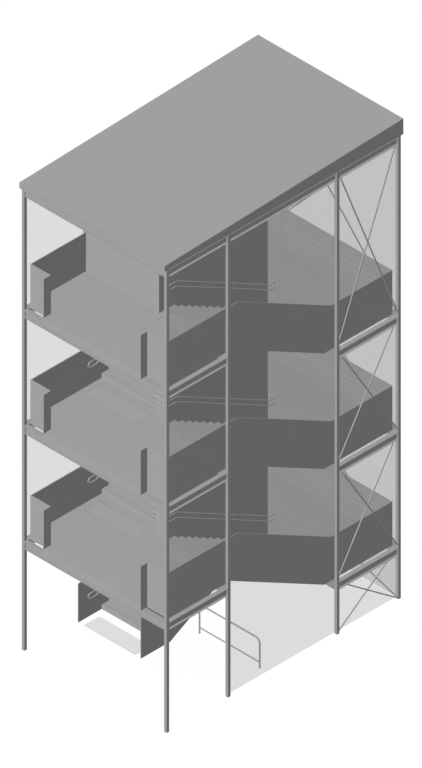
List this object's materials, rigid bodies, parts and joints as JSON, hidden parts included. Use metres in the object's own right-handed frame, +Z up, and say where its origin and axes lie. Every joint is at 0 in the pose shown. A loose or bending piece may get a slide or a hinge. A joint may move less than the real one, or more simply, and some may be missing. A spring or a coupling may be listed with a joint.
{
  "type": "outdoor staircase tower",
  "caption": "Roofed outdoor stair tower with half-turn flights, panel walls, a spine wall, braced steel frame and translucent side screens.",
  "frame": {"origin": "on the ground, at the middle of the overall plan", "axes": "+Z up, -Y towards the open landing fronts, +Y towards the half landings, +X towards the flights that rise to the front"},
  "size_m": [5.69, 9.3, 16.125],
  "materials": {
    "frame_paint": "matt grey paint on steel sections",
    "roof_grey": "matt grey sheet roof",
    "wall_paint": "matt grey paint on steel panels",
    "concrete": "fine matt grey concrete",
    "screen": "pale grey translucent sheet",
    "brace_paint": "matt grey painted rods",
    "rail_steel": "satin grey paint on tube",
    "pad_grey": "translucent grey pads with raised dots"
  },
  "bodies": {
    "root": {"left_columns": "frame_paint", "right_columns": "frame_paint", "roof_beams": "frame_paint", "roof_slab": "roof_grey", "spine_panels": "wall_paint", "spine_ends": "wall_paint", "top_guard": "wall_paint", "left_screen": "screen", "right_screen": "screen", "back_screen": "screen", "left_braces": "brace_paint", "right_braces": "brace_paint", "back_braces": "brace_paint", "barrier_rail": "rail_steel", "warning_pads": "pad_grey", "front_beams_1": "frame_paint", "rear_beams_1": "frame_paint", "front_landing_1": "concrete", "rear_landing_1": "concrete", "lower_flight_1": "concrete", "upper_flight_1": "concrete", "flight_walls_1": "wall_paint", "front_parapets_1": "wall_paint", "rear_parapets_1": "wall_paint", "handrails_1": "rail_steel", "front_beams_2": "frame_paint", "rear_beams_2": "frame_paint", "front_landing_2": "concrete", "rear_landing_2": "concrete", "lower_flight_2": "concrete", "upper_flight_2": "concrete", "flight_walls_2": "wall_paint", "front_parapets_2": "wall_paint", "rear_parapets_2": "wall_paint", "handrails_2": "rail_steel", "front_beams_3": "frame_paint", "rear_beams_3": "frame_paint", "front_landing_3": "concrete", "rear_landing_3": "concrete", "lower_flight_3": "concrete", "upper_flight_3": "concrete", "flight_walls_3": "wall_paint", "front_parapets_3": "wall_paint", "rear_parapets_3": "wall_paint", "handrails_3": "rail_steel"}
  },
  "joints": []
}
